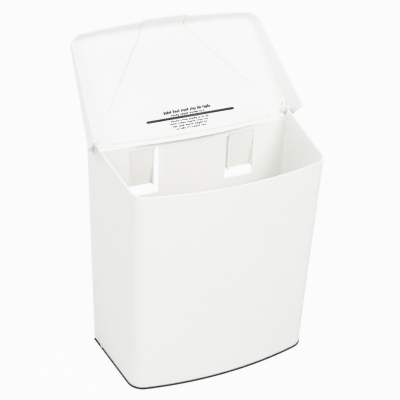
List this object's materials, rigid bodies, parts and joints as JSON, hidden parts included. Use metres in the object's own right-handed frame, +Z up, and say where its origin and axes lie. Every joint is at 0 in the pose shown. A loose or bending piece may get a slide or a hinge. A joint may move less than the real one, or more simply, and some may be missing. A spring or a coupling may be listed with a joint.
{
  "type": "wall-hung waste bin with a hinged lid",
  "caption": "Wall-hung plastic waste bin with a bowed front, tapered sides, a sloping rim and an open hinged lid with a grip tab.",
  "frame": {"origin": "on the table under the middle of the base, 60 mm in front of the wall that the bin hangs on", "axes": "+Z up, -Y to the front of the bin, +Y to the wall, +X to the right as seen from the front"},
  "size_m": [0.271, 0.2287, 0.401],
  "materials": {
    "body_plastic": "white moulded plastic, satin",
    "lid_plastic": "white moulded plastic, satin",
    "pin_plastic": "white plastic, smooth"
  },
  "bodies": {
    "bin": {"bin_body": "body_plastic", "hinge_pin_left": "pin_plastic", "hinge_pin_right": "pin_plastic"},
    "lid": {"lid": "lid_plastic"}
  },
  "joints": [
    {"name": "lid_hinge", "type": "hinge", "parent": "bin", "child": "lid", "pos_m": [0, 0.046, 0.29243], "axis": [1, 0, 0], "range_deg": [0, 143.2]}
  ]
}
